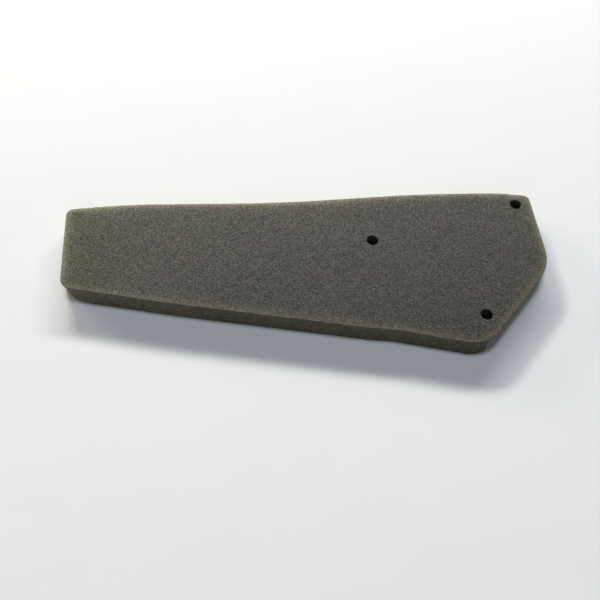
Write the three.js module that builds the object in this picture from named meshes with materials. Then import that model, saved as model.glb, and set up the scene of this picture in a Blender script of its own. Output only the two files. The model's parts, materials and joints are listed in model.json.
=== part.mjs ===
// Foam element of a small engine's air filter: one flat slab of open-cell polyurethane foam,
// die cut from sheet, with three punched holes that drop over the posts of its air box.
// Millimetres, +Z up. +X runs along the long back edge, towards the pointed end. The origin
// is at the centre of the slab's bounding box, on its lower face.
import * as THREE from 'three';

// Driving dimensions.
const LENGTH = 275; // from the narrow end to the pointed end
const THICKNESS = 12; // of the foam sheet
const HOLE_DIAMETER = 6.5;
const NARROW_DEPTH = 56.2; // from the back edge's line to the front corner of the narrow end
const POINT_DEPTH = 56.7; // from the same line to the point
const SHOULDER_DEPTH = 107.6; // from the same line to the front shoulder
const SHOULDER_SETBACK = 47; // from the point back to the front shoulder, along X
const CHORD_ERROR = 0.02; // the most that a facet lies inside the round that it stands for

// The corners of the die line, before rounding. x counts from the narrow end, and y from the
// back edge's line. The slight corners with large rounds are the long edges' shallow waves.
const OUTLINE = [
  { x: 0, y: -0.8, round: 4 }, // back corner of the narrow end
  { x: 32, y: 1.6, round: 400 }, // the back edge bows out,
  { x: 121, y: -1.7, round: 700 }, // draws in at mid length,
  { x: 209, y: 1.1, round: 600 }, // bows out again
  { x: 259, y: -0.4, round: 120 }, // and turns down towards the pointed end
  { x: LENGTH, y: -3.6, round: 3.5 }, // back corner of the pointed end
  { x: LENGTH, y: -POINT_DEPTH, round: 30 }, // the blunt point
  { x: LENGTH - SHOULDER_SETBACK, y: -SHOULDER_DEPTH, round: 19 }, // front shoulder
  { x: 180, y: -94.8, round: 60 }, // the front edge dips in here,
  { x: 166, y: -92.7, round: 90 }, // runs level for a short way
  { x: 60, y: -70.6, round: 900 }, // and then rises to the narrow end
  { x: 0, y: -NARROW_DEPTH, round: 7 }, // front corner of the narrow end
];

// Centres of the punched holes, in the outline's own x and y.
const HOLES = [
  { x: 265.7, y: -10.2 }, // back corner of the pointed end
  { x: 175.6, y: -33.3 }, // mid slab
  { x: 231.3, y: -88.2 }, // front shoulder
];

// Points along an arc, both ends included, close enough together for CHORD_ERROR.
function arcPoints(centre, radius, start, sweep) {
  const widest = 2 * Math.acos(1 - CHORD_ERROR / radius);
  const pieces = Math.ceil(Math.abs(sweep) / widest);
  return Array.from({ length: pieces + 1 }, (_, i) => {
    const angle = start + (sweep * i) / pieces;
    const offset = new THREE.Vector2(Math.cos(angle), Math.sin(angle));
    return offset.multiplyScalar(radius).add(centre);
  });
}

// The arc that touches both sides of a corner, going from the side before to the side after.
function roundedCorner(before, corner, after) {
  const tip = new THREE.Vector2(corner.x, corner.y);
  const back = new THREE.Vector2(before.x, before.y).sub(tip).normalize();
  const ahead = new THREE.Vector2(after.x, after.y).sub(tip).normalize();
  const half = Math.acos(back.dot(ahead)) / 2;
  const inwards = back.clone().add(ahead).normalize();
  const centre = inwards.clone().multiplyScalar(corner.round / Math.sin(half)).add(tip);
  const first = back.clone().multiplyScalar(corner.round / Math.tan(half)).add(tip);
  const turn = Math.sign(ahead.cross(back)) * (Math.PI - 2 * half);
  return arcPoints(centre, corner.round, first.sub(centre).angle(), turn);
}

function dieLine() {
  const last = OUTLINE.length - 1;
  return OUTLINE.flatMap((corner, i) =>
    roundedCorner(OUTLINE[i === 0 ? last : i - 1], corner, OUTLINE[i === last ? 0 : i + 1]),
  );
}

function punchedHole({ x, y }) {
  const circle = arcPoints(new THREE.Vector2(x, y), HOLE_DIAMETER / 2, 0, 2 * Math.PI);
  circle.pop(); // the last point is the first again
  return new THREE.Path(circle);
}

function foamElement() {
  const shape = new THREE.Shape(dieLine());
  shape.holes = HOLES.map(punchedHole);
  const geometry = new THREE.ExtrudeGeometry(shape, { depth: THICKNESS, bevelEnabled: false });
  geometry.computeBoundingBox();
  const middle = geometry.boundingBox.getCenter(new THREE.Vector3());
  geometry.translate(-middle.x, -middle.y, 0);
  const foam = new THREE.MeshStandardMaterial({ color: 0x58574f, roughness: 1, metalness: 0 });
  const mesh = new THREE.Mesh(geometry, foam);
  mesh.name = 'foam_element';
  return mesh;
}

const airFilterElement = new THREE.Group();
airFilterElement.add(foamElement());

export default airFilterElement;
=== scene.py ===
# The looks of a small engine's foam air filter element.
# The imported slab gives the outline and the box. One closed mesh stands for it: open cells over both
# faces and every cut wall, soft rims lower than the middle of the face, walls drawn in at mid
# height, the slanted wall leaning in under its rim, one front corner tucked under and a small
# nick. Metres throughout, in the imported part's own frame.
import json
import math

import bmesh
import bpy
import numpy as np
from mathutils import Matrix, Vector
from mathutils.geometry import delaunay_2d_cdt
from mathutils.kdtree import KDTree


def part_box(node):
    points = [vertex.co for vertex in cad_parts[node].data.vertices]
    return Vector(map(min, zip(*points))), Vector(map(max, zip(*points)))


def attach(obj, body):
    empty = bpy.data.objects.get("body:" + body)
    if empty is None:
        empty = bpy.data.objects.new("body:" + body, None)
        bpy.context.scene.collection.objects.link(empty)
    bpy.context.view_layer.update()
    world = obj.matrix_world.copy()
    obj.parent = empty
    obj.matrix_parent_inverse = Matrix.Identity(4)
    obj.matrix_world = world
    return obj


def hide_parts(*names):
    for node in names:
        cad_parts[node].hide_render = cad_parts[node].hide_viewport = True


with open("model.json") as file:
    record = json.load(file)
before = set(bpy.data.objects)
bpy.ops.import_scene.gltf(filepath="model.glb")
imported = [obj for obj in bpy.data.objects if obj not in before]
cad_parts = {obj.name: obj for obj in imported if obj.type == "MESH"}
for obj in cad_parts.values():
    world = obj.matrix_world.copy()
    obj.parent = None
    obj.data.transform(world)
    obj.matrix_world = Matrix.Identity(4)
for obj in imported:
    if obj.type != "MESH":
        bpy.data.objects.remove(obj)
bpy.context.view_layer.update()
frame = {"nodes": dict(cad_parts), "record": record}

MM = 0.001
NODE = "foam_element"
LOW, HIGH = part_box(NODE)
LENGTH, THICKNESS = HIGH.x - LOW.x, HIGH.z - LOW.z
SEED = 11

# Mesh spacings. A cell is one pit with ridges round it.
COARSE = 1.0
UPPER_PITCH = 1.2 * MM * COARSE  # between the cells of the upper face
WALL_PITCH = 1.32 * MM * COARSE
LOWER_PITCH = 1.72 * MM * COARSE
RIM_STEP = 0.8 * MM * COARSE
HOLE_STEP = 0.44 * MM
JITTER = 0.32  # how far a cell's middle strays from its lattice point, as a share of the pitch
PIT_DEPTHS = (0.55, 1.0)  # as shares of CELL_DEPTH
RIDGE_DEPTHS = (-0.1, 0.2)
PIT_CLEARANCE = 0.5  # from a border, as a share of the pitch
RIDGE_CLEARANCE = 0.3
RIDGE_SPACING = 0.26
ROUND_STEPS = 7  # points along the profile of a rounded edge
WALL_STEPS = 15  # and along the wall between its two rounds
SAME_POINT = 1e-8
SAME_HEIGHT = 1e-6

# The shape of the cut edge.
RIM_ROUND = 0.5 * MM
BASE_ROUND = 0.25 * MM
HOLE_ROUND = 0.45 * MM
WALL_PINCH = 0.35 * MM  # how far the cut draws the wall in at mid height
HOLE_PINCH = 0.15 * MM
CORNER_TUCK = 3.5 * MM  # at the narrow end's front corner, at the base
CORNER_REACH = 7 * MM
SLANT_LEAN = 6 * MM  # how far the base of the slanted wall lies in under its rim
LEAN_STARTS = 0.9  # cosine of the angle from that wall's direction at which the lean begins
NICK_PLACE = 0.160  # from the narrow end, as a share of the length
NICK_DEPTH = 0.9 * MM
NICK_WIDTH = 0.6 * MM
NICK_START = 2 * MM  # the nick reaches its full depth this far below the rim
CELL_DEPTH = 0.20 * MM
EDGE_CALM = 0.65  # how much shallower the cells are at the rim and on the cut walls
SWELL = 0.12 * MM  # how far the faces and walls wander from flat
SWELL_WAVES = (85 * MM, 47 * MM, 23 * MM)
HEADINGS = 2  # random directions in which each of those waves runs
CROWN = 0.5 * MM  # how much lower the upper rim lies than the middle of the face
CROWN_REACH = 1.8 * MM
GLOW_REACH = 1.9 * MM  # how far in from the rim the painted glow and highlight reach
WALL_GLOW = 0.7 * MM  # the wall has as much painted glow as the face has at this distance from the rim
PROUD = 0.35 * MM  # how far the cut wall's loose ends stand out from the cut

# The foam's look. Colours are linear.
PORE_SIZE = 0.56 * MM
CRUMB_SIZE = 0.33 * MM
BROWN_GREY = (0.0362, 0.0309, 0.0248, 1)
OLIVE_GREY = (0.0344, 0.0320, 0.0238, 1)
NARROW_END_OLIVE = (0.0345, 0.0312, 0.0145, 1)
# the painted glow's colour, where light shines through the foam near its cut edge
GLOW_OLIVE = (0.172, 0.157, 0.093, 1)
HUE_PATCH = 9 * MM
BLOTCH = 36 * MM

# The cloth's look.
CLOTH_SHADED = (0.830, 0.818, 0.815, 1)
CLOTH_LIT = (0.850, 0.838, 0.835, 1)
THREAD = 0.9 * MM
FOLD = 60 * MM
FOLD_HEIGHT = 20.0  # of a fold, in threads' heights

# The stage.
FLOOR_HALF_WIDTH = 4.0
AIM = Vector((-6.16 * MM, -12.17 * MM, LOW.z))
CAMERA_DISTANCE = 478.9 * MM
CAMERA_HEADING, CAMERA_TILT, CAMERA_ROLL = (math.radians(a) for a in (81.78, 54.79, 4.04))
LENS, SENSOR_WIDTH = 51, 36


# ---- The outline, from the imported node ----

def rim_loops(node):
    """The closed lines round the node's upper face and its holes, longest first, as x and y."""
    bm = bmesh.new()
    bm.from_mesh(node.data)
    bmesh.ops.remove_doubles(bm, verts=bm.verts, dist=SAME_HEIGHT)
    top = {f for f in bm.faces if all(v.co.z > HIGH.z - SAME_HEIGHT for v in f.verts)}
    rim = {e for e in bm.edges if sum(f in top for f in e.link_faces) == 1}
    loops = []
    while rim:
        edge = rim.pop()
        start, vertex = edge.verts
        loop = [start]
        while vertex != start:
            loop.append(vertex)
            edge = next(e for e in vertex.link_edges if e in rim)
            rim.discard(edge)
            vertex = edge.other_vert(vertex)
        loops.append(np.array([v.co[:2] for v in loop]))
    bm.free()
    return sorted(loops, key=lambda loop: (-round(loop_length(loop), 3), loop[:, 0].mean()))


def loop_length(loop):
    return np.hypot(*(np.roll(loop, -1, 0) - loop).T).sum()


def signed_area(loop):
    x, y = loop.T
    return 0.5 * np.sum(x * np.roll(y, -1) - y * np.roll(x, -1))


def wound(loop, counterclockwise):
    """The loop run the asked way round, from its point nearest the middle of the back edge."""
    if (signed_area(loop) > 0) != counterclockwise:
        loop = loop[::-1]
    start = np.argmin(np.abs(loop[:, 0]) - loop[:, 1])
    return np.roll(loop, -start, 0)


# ---- The cut wall below each loop ----

class CutWall:
    """The wall below one loop. s runs round the loop, and t from the upper rim down to the base."""

    def __init__(self, loop, step, rim_round, base_round, pinch, proud):
        closed = np.vstack([loop, loop[:1]])
        along = np.concatenate([[0], np.cumsum(np.hypot(*np.diff(closed, axis=0).T))])
        self.length = along[-1]
        count = round(self.length / step)
        self.at = np.arange(count) * self.length / count
        dense = np.arange(4 * count + 1) * self.length / (4 * count)
        line = np.column_stack([np.interp(dense, along, closed[:, k]) for k in (0, 1)])
        line[-1] = line[0]
        ahead = np.roll(line[:-1], -2, 0) - np.roll(line[:-1], 2, 0)
        ahead /= np.hypot(*ahead.T)[:, None]
        out = np.column_stack([ahead[:, 1], -ahead[:, 0]])
        self.dense, self.line, self.out = dense, line, np.vstack([out, out[:1]])
        self.profile(rim_round, base_round, pinch, proud)

    def profile(self, rim_round, base_round, pinch, proud):
        """Works out how far in, and how high, the wall is at each distance t down it."""
        turn = np.linspace(0, math.pi / 2, ROUND_STEPS)
        rim_in = rim_round * (1 - np.sin(turn))
        rim_up = THICKNESS - rim_round * (1 - np.cos(turn))
        base_in = base_round * (1 - np.cos(turn))
        base_up = base_round * (1 - np.sin(turn))
        down = np.linspace(0, 1, WALL_STEPS)[1:-1]
        wall_up = rim_up[-1] + (base_up[0] - rim_up[-1]) * down
        inset = np.concatenate([rim_in, pinch * np.sin(math.pi * down), base_in])
        height = np.concatenate([rim_up, wall_up, base_up])
        self.down = np.concatenate([[0], np.cumsum(np.hypot(np.diff(inset), np.diff(height)))])
        self.inset, self.height = inset - proud, height
        self.depth = self.down[-1]

    def place(self, s, t, tucked):
        """Points in space at s and t."""
        s = np.mod(s, self.length)
        base = np.column_stack([np.interp(s, self.dense, self.line[:, k]) for k in (0, 1)])
        out = np.column_stack([np.interp(s, self.dense, self.out[:, k]) for k in (0, 1)])
        out /= np.hypot(*out.T)[:, None]
        height = np.interp(t, self.down, self.height)
        inset = np.interp(t, self.down, self.inset)
        if tucked:
            inset = inset + tuck(base, height) + lean(out, height) + nick(base, height)
        return np.column_stack([base - out * inset[:, None], LOW.z + height])


def tuck(base, height):
    """How far the foot of the wall is drawn under at the narrow end's front corner."""
    lowered = 1 - height / THICKNESS
    corner = OUTLINE[np.argmin(OUTLINE.sum(1))]
    near_corner = np.exp(-np.sum((base - corner) ** 2, 1) / CORNER_REACH ** 2)
    return lowered * CORNER_TUCK * near_corner


def lean(out, height):
    """How far the slanted wall is drawn in at each height, easing off round both its corners."""
    lowered = 1 - height / THICKNESS
    share = np.clip((out @ SLANT - LEAN_STARTS) / (1 - LEAN_STARTS), 0, 1)
    return SLANT_LEAN * lowered * share ** 2 * (3 - 2 * share)


def nick(base, height):
    """How far in a short slit across the long front wall goes, from a little below its rim."""
    front = base[:, 1] < 0
    beside = (base[:, 0] - (LOW.x + NICK_PLACE * LENGTH)) / NICK_WIDTH
    below_rim = np.clip((THICKNESS - height) / NICK_START, 0, 1)
    return front * NICK_DEPTH * np.exp(-beside ** 2) * below_rim


# ---- Foam cells ----

def point_tree(points):
    tree = KDTree(len(points))
    for i, (x, y) in enumerate(points):
        tree.insert((x, y, 0), i)
    tree.balance()
    return tree


def distances(points, targets):
    """How far each point is from the nearest of the targets."""
    tree = point_tree(targets)
    return np.array([tree.find((x, y, 0))[2] for x, y in points])


def inside(points, ring):
    """Whether each point lies inside the closed ring, by counting crossings."""
    x, y = points.T
    result = np.zeros(len(points), bool)
    for (x0, y0), (x1, y1) in zip(ring, np.roll(ring, -1, 0)):
        if y0 != y1:
            crossed = (y0 > y) != (y1 > y)
            result ^= crossed & (x < x0 + (y - y0) * (x1 - x0) / (y1 - y0))
    return result


def scattered(low, high, pitch, rng):
    """A triangular lattice over a rectangle, with every point moved a little at random."""
    row = pitch * math.sqrt(3) / 2
    rows = np.arange(low[1], high[1], row)
    columns = np.arange(low[0] - pitch, high[0] + pitch, pitch)
    x, y = np.meshgrid(columns, rows)
    x = x + pitch / 2 * (np.arange(len(rows)) % 2)[:, None]
    points = np.column_stack([x.ravel(), y.ravel()])
    return points + rng.uniform(-JITTER, JITTER, points.shape) * pitch


def triangulated(points, rings):
    """A Delaunay triangulation of the area between the rings, whose points come first. A triangle
    outside that area has its corners on one ring, and they run round it the wrong way."""
    edges, owner, first = [], np.full(len(points), -1), 0
    for number, ring in enumerate(rings):
        count = len(ring)
        edges += [(first + i, first + (i + 1) % count) for i in range(count)]
        owner[first:first + count] = number
        first += count
    vectors = [Vector(p) for p in points / MM]
    _, _, faces, sources, _, _ = delaunay_2d_cdt(vectors, edges, [], 0, 1e-7, True)
    triangles = np.array([s[0] for s in sources])[np.array(faces)]
    a, b, c = triangles.T
    forward = ((a < b) & (b < c)) | ((b < c) & (c < a)) | ((c < a) & (a < b))
    one_ring = (owner[a] >= 0) & (owner[a] == owner[b]) & (owner[b] == owner[c])
    return triangles[forward | ~one_ring]


def circumcentres(points, triangles):
    a, b, c = (points[triangles[:, k]] for k in range(3))
    b, c = b - a, c - a
    double = 2 * (b[:, 0] * c[:, 1] - b[:, 1] * c[:, 0])
    bb, cc = np.sum(b * b, 1), np.sum(c * c, 1)
    x = (c[:, 1] * bb - b[:, 1] * cc) / double
    y = (b[:, 0] * cc - c[:, 0] * bb) / double
    return a + np.column_stack([x, y])


def spaced(points, gap):
    """The points without any that is nearer than the gap to a kept one before it."""
    tree = point_tree(points)
    kept = np.ones(len(points), bool)
    for i, (x, y) in enumerate(points):
        if kept[i]:
            near = [j for _, j, _ in tree.find_range((x, y, 0), gap) if j > i]
            kept[near] = False
    return points[kept]


def cells(rings, pitch, rng):
    """Fills the area inside the first ring and outside the others with cells: a pit at each cell's
    middle, and ridges where three cells meet. Gives points, pit depths and triangles."""
    border = np.vstack(rings)

    def usable(points, gap):
        kept = inside(points, rings[0])
        for hole in rings[1:]:
            kept &= ~inside(points, hole)
        points = points[kept]
        return points[distances(points, border) > gap]

    pits = scattered(rings[0].min(0), rings[0].max(0), pitch, rng)
    pits = usable(pits, PIT_CLEARANCE * pitch)
    core = np.vstack([border, pits])
    ridges = circumcentres(core, triangulated(core, rings))
    ridges = usable(spaced(ridges, RIDGE_SPACING * pitch), RIDGE_CLEARANCE * pitch)
    points = np.vstack([border, pits, ridges])
    triangles = triangulated(points, rings)
    pit = np.zeros(len(points))
    pit[len(border):len(core)] = rng.uniform(*PIT_DEPTHS, len(pits))
    pit[len(core):] = rng.uniform(*RIDGE_DEPTHS, len(ridges))
    return points, pit, triangles


# ---- The slab ----

class Patchwork:
    """Collects patches of triangles, and joins them where their points coincide."""

    def __init__(self):
        self.points, self.values, self.triangles, self.count = [], [], [], 0

    def add(self, points, pit, edge, triangles, flipped):
        triangles = triangles[:, ::-1] if flipped else triangles
        self.points.append(points)
        self.values.append(np.column_stack([pit, edge]))
        self.triangles.append(triangles + self.count)
        self.count += len(points)

    def joined(self):
        """Points, their pit depths, their distances from the rim, and triangles."""
        points, values = np.vstack(self.points), np.vstack(self.values)
        keys = np.round(points / SAME_POINT).astype(np.int64)
        _, first, index = np.unique(keys, axis=0, return_index=True, return_inverse=True)
        pit, edge = values[first].T
        return points[first], pit, edge, index.ravel()[np.vstack(self.triangles)]


def add_face(patchwork, walls, tucks, at_base, pitch, rng):
    """The upper or the lower face, between the walls' ends."""
    rings = []
    for wall, tucked in zip(walls, tucks):
        t = np.full(len(wall.at), wall.depth if at_base else 0.0)
        rings.append(wall.place(wall.at, t, tucked))
    points, pit, triangles = cells([ring[:, :2] for ring in rings], pitch, rng)
    height = np.full((len(points), 1), LOW.z if at_base else HIGH.z)
    space = np.hstack([points, height])
    border = np.vstack(rings)
    space[:len(border)] = border
    edge = distances(points, rings[0][:, :2])
    patchwork.add(space, pit, edge, triangles, flipped=at_base)


def add_wall(patchwork, wall, tucked, pitch, from_rim, rng):
    """A wall, laid out flat as a strip whose two ends meet again."""
    steps = max(2, round(wall.depth / pitch))
    seam = np.linspace(0, wall.depth, steps + 1)
    across = np.append(wall.at, wall.length)
    strip = np.vstack([
        np.column_stack([across, np.zeros(len(across))]),
        np.column_stack([np.full(steps - 1, wall.length), seam[1:-1]]),
        np.column_stack([across[::-1], np.full(len(across), wall.depth)]),
        np.column_stack([np.zeros(steps - 1), seam[-2:0:-1]]),
    ])
    points, pit, triangles = cells([strip], pitch, rng)
    space = wall.place(points[:, 0], points[:, 1], tucked)
    patchwork.add(space, pit, np.full(len(space), from_rim), triangles, flipped=True)


def vertex_normals(points, triangles):
    a, b, c = (points[triangles[:, k]] for k in range(3))
    normal = np.cross(b - a, c - a)
    total = np.zeros_like(points)
    for k in range(3):
        np.add.at(total, triangles[:, k], normal)
    return total / np.linalg.norm(total, axis=1)[:, None]


def wander(points, rng):
    """A smooth value from 0 to 1 that drifts over the slab."""
    total = np.zeros(len(points))
    for wavelength in SWELL_WAVES:
        for _ in range(HEADINGS):
            heading, phase = rng.uniform(0, 2 * math.pi, 2)
            along = points[:, 0] * math.cos(heading) + points[:, 1] * math.sin(heading)
            total += np.sin(2 * math.pi * along / wavelength + phase)
    return 0.5 + total / (2 * HEADINGS * len(SWELL_WAVES))


def slab_patches(rng):
    """Both faces and every wall, joined, before the foam is given its relief."""
    outer = CutWall(OUTLINE, RIM_STEP, RIM_ROUND, BASE_ROUND, WALL_PINCH, PROUD)
    holes = [CutWall(loop, HOLE_STEP, HOLE_ROUND, HOLE_ROUND, HOLE_PINCH, 0.0) for loop in HOLES]
    walls = [outer] + holes
    tucks = [True] + [False] * len(holes)
    patchwork = Patchwork()
    add_face(patchwork, walls, tucks, False, UPPER_PITCH, rng)
    add_face(patchwork, walls, tucks, True, LOWER_PITCH, rng)
    for wall, tucked in zip(walls, tucks):
        centre = wall.line.mean(0, keepdims=True)
        # a wall's painted edge glow: the outer wall's is set, a hole's follows its distance from the
        # rim
        from_rim = WALL_GLOW if wall is outer else distances(centre, outer.line)[0]
        add_wall(patchwork, wall, tucked, WALL_PITCH, from_rim, rng)
    return patchwork.joined()


def relieved(points, pit, edge, triangles, rng):
    """The points with their pits sunk in, the faces' swell and the crown of the upper face."""
    normals = vertex_normals(points, triangles)
    swell = SWELL * wander(points, rng) * np.clip(points[:, 2] / THICKNESS, 0, 1)
    shallow = 1 - EDGE_CALM * np.exp(-edge / CROWN_REACH)
    inward = CELL_DEPTH * shallow * np.clip(pit, 0, None) + swell
    points = points - normals * inward[:, None]
    upper = np.clip((points[:, 2] - LOW.z) / THICKNESS, 0, 1)
    points[:, 2] += CROWN * upper * (0.5 - np.exp(-edge / CROWN_REACH))
    points[:, 2] = np.maximum(points[:, 2], LOW.z)
    return points


def build_slab():
    rng = np.random.default_rng(SEED)
    points, pit, edge, triangles = slab_patches(rng)
    points = relieved(points, pit, edge, triangles, rng)
    mesh = bpy.data.meshes.new("foam_slab")
    mesh.from_pydata(points.tolist(), [], triangles.tolist())
    mesh.shade_smooth()
    add_values(mesh, "pit", pit)
    add_values(mesh, "edge", edge)
    slab = bpy.data.objects.new("foam_slab", mesh)
    bpy.context.scene.collection.objects.link(slab)
    return slab


def add_values(mesh, name, values):
    attribute = mesh.attributes.new(name, "FLOAT", "POINT")
    attribute.data.foreach_set("value", np.asarray(values, np.float32))


# ---- Materials ----

def add_node(tree, kind, inputs=None, **settings):
    """A shader node with its settings, its values and its links to other nodes' outputs."""
    node = tree.nodes.new(kind)
    for name, value in settings.items():
        setattr(node, name, value)
    for name, value in (inputs or {}).items():
        if isinstance(value, bpy.types.NodeSocket):
            tree.links.new(value, node.inputs[name])
        else:
            node.inputs[name].default_value = value
    return node


def new_material(name):
    material = bpy.data.materials.new(name)
    material.use_nodes = True
    tree = material.node_tree
    tree.nodes.clear()
    shader = add_node(tree, "ShaderNodeBsdfPrincipled")
    output = add_node(tree, "ShaderNodeOutputMaterial")
    tree.links.new(shader.outputs["BSDF"], output.inputs["Surface"])
    place = add_node(tree, "ShaderNodeTexCoord").outputs["Object"]
    return material, tree, shader, place


def remapped(tree, value, low, high, new_low, new_high):
    node = add_node(tree, "ShaderNodeMapRange", {
        "Value": value, "From Min": low, "From Max": high, "To Min": new_low, "To Max": new_high,
    })
    return node.outputs["Result"]


def noise(tree, place, size, detail=2.0, roughness=0.5):
    """Noise whose blobs are about size across."""
    return add_node(tree, "ShaderNodeTexNoise", {
        "Vector": place, "Scale": 1 / size, "Detail": detail, "Roughness": roughness,
    }).outputs["Fac"]


def mixed(tree, factor, first, second):
    """A mix of two colours. The node's colour sockets are its 6th and 7th inputs and 2nd output."""
    node = add_node(tree, "ShaderNodeMix", {0: factor, 6: first, 7: second}, data_type="RGBA")
    return node.outputs[2]


def calculated(tree, operation, first, second):
    node = add_node(tree, "ShaderNodeMath", {0: first, 1: second}, operation=operation)
    return node.outputs[0]


def attribute(tree, name):
    return add_node(tree, "ShaderNodeAttribute", attribute_name=name).outputs["Fac"]


def foam_pattern(tree, place):
    """Pores with struts round them and finer crumbs. Gives their height, and a tone for each."""
    pores = add_node(tree, "ShaderNodeTexVoronoi", {
        "Vector": place, "Scale": 1 / PORE_SIZE, "Randomness": 1.0,
    })
    strut = remapped(tree, pores.outputs["Distance"], 0.15, 0.70, 0.0, 0.5)
    lot = add_node(tree, "ShaderNodeSeparateColor", {"Color": pores.outputs["Color"]})
    fine = remapped(tree, noise(tree, place, CRUMB_SIZE, 2.0, 0.7), 0.3, 0.7, 0.0, 1.0)
    relief = calculated(tree, "ADD", strut, fine)
    crumb = calculated(tree, "ADD", relief, lot.outputs["Red"])
    return relief, remapped(tree, crumb, 0.4, 2.1, 0.0, 1.0)


def foam_shade(tree, place, crumb, painted_edge_glow):
    """How light the foam is, about 1: crumbs, painted shade deeper in the pits, slow blotches, and
    painted shade that darkens it towards the front edge, away from the window light.
    """
    # painted shade: the deeper a cell's pit, the darker its colour
    middle = remapped(tree, attribute(tree, "pit"), 0.0, 1.0, 0.43, 0.60)
    centred = calculated(tree, "SUBTRACT", crumb, middle)
    # the crumbs are calmer on the rim and the cut walls, following the painted edge glow
    contrast = remapped(tree, painted_edge_glow, 0.0, 1.0, 2.5, 0.9)
    shade = calculated(tree, "MULTIPLY", centred, contrast)
    shade = calculated(tree, "EXPONENT", shade, 0.0)
    blotch = remapped(tree, noise(tree, place, BLOTCH, 4.0, 0.6), 0.3, 0.7, 0.88, 1.12)
    shade = calculated(tree, "MULTIPLY", shade, blotch)
    # painted shade: darker towards the front edge and lighter towards the back, as the low window
    # light falls on it
    across = add_node(tree, "ShaderNodeSeparateXYZ", {"Vector": place}).outputs["Y"]
    across = remapped(tree, across, LOW.y, HIGH.y, 0.63, 1.20)
    return calculated(tree, "MULTIPLY", shade, across)


def foam_tone(tree, place, painted_edge_glow):
    """The foam's colour: mottled grey, olive at the narrow end, and a painted glow near the cut edge,
    lighter and more olive, where light shines through the thin foam.
    """
    hue = remapped(tree, noise(tree, place, HUE_PATCH, 3.0), 0.35, 0.65, 0.0, 1.0)
    core = mixed(tree, hue, BROWN_GREY, OLIVE_GREY)
    along = add_node(tree, "ShaderNodeSeparateXYZ", {"Vector": place}).outputs["X"]
    narrow_end = remapped(tree, along, LOW.x + 12 * MM, LOW.x + 45 * MM, 1.0, 0.0)
    core = mixed(tree, narrow_end, core, NARROW_END_OLIVE)
    return mixed(tree, painted_edge_glow, core, GLOW_OLIVE)


def foam_material():
    """Dark olive open-cell foam with a painted glow and highlight towards its cut edge, where light
    shines through the thin foam, and a dull sheen on its struts.
    """
    material, tree, shader, place = new_material("filter_foam")
    # painted glow and highlight: near 1 at the rim, falling off with distance in from the cut edge
    painted_edge_glow = calculated(tree, "DIVIDE", attribute(tree, "edge"), -GLOW_REACH)
    painted_edge_glow = calculated(tree, "EXPONENT", painted_edge_glow, 0.0)
    relief, crumb = foam_pattern(tree, place)
    shade = foam_shade(tree, place, crumb, painted_edge_glow)
    tone = foam_tone(tree, place, painted_edge_glow)
    colour = add_node(tree, "ShaderNodeVectorMath", {0: tone, "Scale": shade}, operation="SCALE")
    tree.links.new(colour.outputs[0], shader.inputs["Base Color"])

    bump = add_node(tree, "ShaderNodeBump", {
        "Height": relief, "Strength": 0.8, "Distance": 0.15 * MM,
    })
    tree.links.new(bump.outputs["Normal"], shader.inputs["Normal"])
    rough = remapped(tree, crumb, 0.0, 1.0, 0.90, 0.42)
    tree.links.new(rough, shader.inputs["Roughness"])
    shader.inputs["Specular IOR Level"].default_value = 0.30
    shader.inputs["Sheen Weight"].default_value = 0.04
    shader.inputs["Sheen Roughness"].default_value = 0.6
    shader.inputs["Sheen Tint"].default_value = (1.0, 0.97, 0.85, 1)
    return material


def floor_material():
    """Pale cotton cloth: a fine weave with slow, faint folds."""
    material, tree, shader, place = new_material("pale_cloth")
    weave = noise(tree, place, THREAD, 2.0, 0.6)
    folds = noise(tree, place, FOLD, 2.0, 0.5)
    tint = remapped(tree, weave, 0.25, 0.75, 0.0, 1.0)
    tone = mixed(tree, tint, CLOTH_SHADED, CLOTH_LIT)
    tree.links.new(tone, shader.inputs["Base Color"])
    height = calculated(tree, "MULTIPLY_ADD", folds, FOLD_HEIGHT)
    tree.links.new(weave, height.node.inputs[2])
    bump = add_node(tree, "ShaderNodeBump", {
        "Height": height, "Strength": 0.25, "Distance": 0.08 * MM,
    })
    tree.links.new(bump.outputs["Normal"], shader.inputs["Normal"])
    shader.inputs["Roughness"].default_value = 0.95
    shader.inputs["Specular IOR Level"].default_value = 0.1
    return material


# ---- The stage ----

def add_floor():
    half = FLOOR_HALF_WIDTH
    mesh = bpy.data.meshes.new("floor")
    corners = [(-half, -half, LOW.z), (half, -half, LOW.z), (half, half, LOW.z), (-half, half, LOW.z)]
    mesh.from_pydata(corners, [], [(0, 1, 2, 3)])
    floor = bpy.data.objects.new("floor", mesh)
    bpy.context.scene.collection.objects.link(floor)
    floor.data.materials.append(floor_material())


def direction(azimuth, elevation):
    """A unit vector: azimuth counter-clockwise from +X and elevation up from the floor, degrees."""
    a, e = math.radians(azimuth), math.radians(elevation)
    return Vector((math.cos(e) * math.cos(a), math.cos(e) * math.sin(a), math.sin(e)))


def add_panel(name, azimuth, elevation, distance, width, height, power, colour):
    """A flat soft light that faces the middle of the slab. Its place is in degrees and metres, its
    sides in metres and its power in watts."""
    light = bpy.data.lights.new(name, "AREA")
    light.shape = "RECTANGLE"
    light.size, light.size_y = width, height
    light.energy = power
    light.color = colour
    panel = bpy.data.objects.new(name, light)
    panel.location = direction(azimuth, elevation) * distance
    panel.rotation_euler = direction(azimuth, elevation).to_track_quat("Z", "Y").to_euler()
    panel.visible_camera = False
    bpy.context.scene.collection.objects.link(panel)


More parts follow.
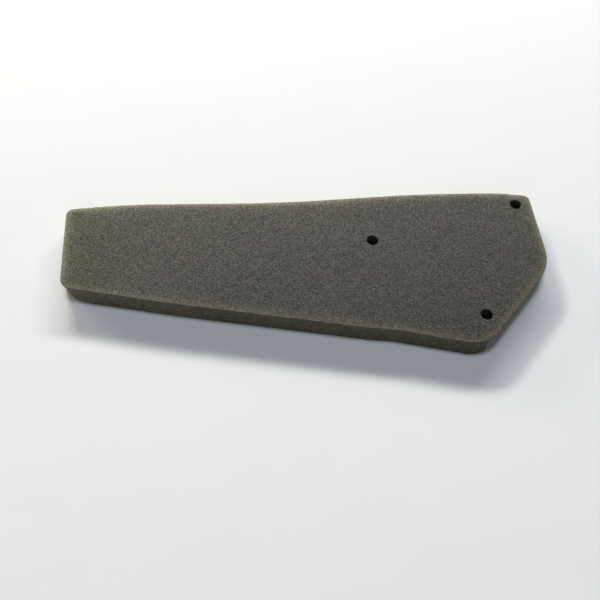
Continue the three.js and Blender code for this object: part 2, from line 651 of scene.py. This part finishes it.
def add_lights():
    """A long low window behind the slab, a small lamp almost overhead and a dim room in front."""
    add_panel("window_middle", 108, 25.5, 2.4, 0.64, 0.21, 39, (1.0, 0.98, 0.85))
    add_panel("window_right", 78, 25.5, 2.4, 1.92, 0.21, 49, (0.96, 1.0, 1.0))
    add_panel("window_left", 135, 13, 2.4, 0.96, 0.32, 23, (1.0, 0.95, 0.78))
    add_panel("overhead", 130, 84.5, 2.5, 0.6, 0.6, 18.5, (0.79, 0.87, 1.0))
    add_panel("room_front", 265, 30, 2.5, 2.0, 1.0, 8, (0.90, 0.95, 1.0))
    world = bpy.data.worlds.new("room")
    world.use_nodes = True
    background = world.node_tree.nodes["Background"]
    background.inputs["Color"].default_value = (0.86, 0.92, 1.0, 1)
    background.inputs["Strength"].default_value = 0.03
    bpy.context.scene.world = world
    bpy.context.scene.view_settings.view_transform = "Standard"


def add_camera():
    """A camera that looks down on the slab from its front, with a slight roll."""
    heading, tilt, roll = CAMERA_HEADING, CAMERA_TILT, CAMERA_ROLL
    level = Vector((math.cos(heading), math.sin(heading), 0))
    side = Vector((level.y, -level.x, 0))
    forward = level * math.cos(tilt) - Vector((0, 0, math.sin(tilt)))
    up = level * math.sin(tilt) + Vector((0, 0, math.cos(tilt)))
    right = side * math.cos(roll) + up * math.sin(roll)
    upright = up * math.cos(roll) - side * math.sin(roll)
    place = AIM - forward * CAMERA_DISTANCE

    data = bpy.data.cameras.new("camera")
    data.lens, data.sensor_width = LENS, SENSOR_WIDTH
    data.clip_start = 0.01
    camera = bpy.data.objects.new("camera", data)
    turn = Matrix((right, upright, -forward)).transposed()
    camera.matrix_world = Matrix.Translation(place) @ turn.to_4x4()
    bpy.context.scene.collection.objects.link(camera)
    bpy.context.scene.camera = camera


add_camera()
LOOPS = rim_loops(frame["nodes"][NODE])
OUTLINE = wound(LOOPS[0], counterclockwise=True)
HOLES = [wound(loop, counterclockwise=False) for loop in LOOPS[1:]]
MOUNTS = {mount["name"]: mount for mount in frame["record"]["mounts"]}
SLANT = np.array(MOUNTS["slanted_face"]["axis"][:2])
foam = build_slab()
foam.data.materials.append(foam_material())
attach(foam, "root")
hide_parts(NODE)
add_floor()
add_lights()
